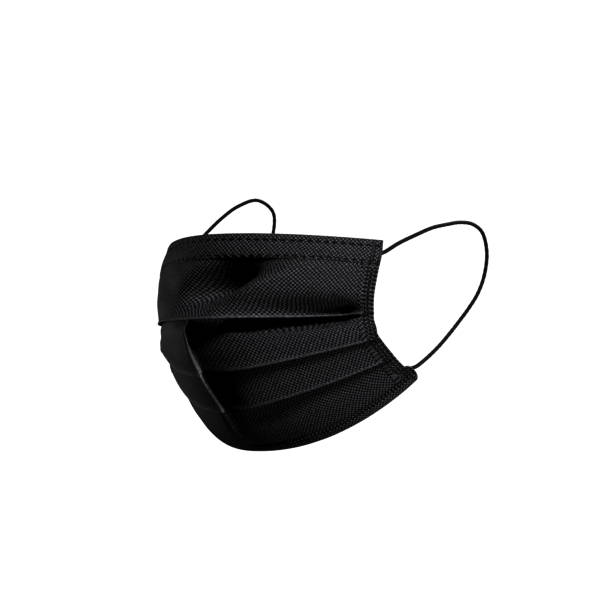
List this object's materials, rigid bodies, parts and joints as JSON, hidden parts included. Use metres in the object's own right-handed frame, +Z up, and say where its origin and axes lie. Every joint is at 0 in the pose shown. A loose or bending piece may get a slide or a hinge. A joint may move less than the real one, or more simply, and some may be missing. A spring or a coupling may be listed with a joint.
{
  "type": "surgical mask",
  "caption": "Pleated disposable face mask in its open, worn form: pleated cloth between a nose band, a bottom hem and two welded side strips, with an elastic ear loop on each side.",
  "frame": {"origin": "where the top edge crosses the bridge of the wearer's nose, which is where the mask sits", "axes": "+Z up, -Y out of the front of the mask, +X to the wearer's left"},
  "size_m": [0.1539, 0.1369, 0.1335],
  "materials": {
    "cloth": "matt black spunbond nonwoven with a fine embossed pattern",
    "weld_strip": "the same nonwoven pressed flat and spot welded, slightly smoother",
    "elastic": "round knitted elastic cord, black"
  },
  "bodies": {
    "root": {"pleated_cloth": "cloth", "nose_band": "cloth", "bottom_hem": "cloth", "side_strip_left": "weld_strip", "side_strip_right": "weld_strip", "ear_loop_left": "elastic", "ear_loop_right": "elastic"}
  },
  "joints": []
}
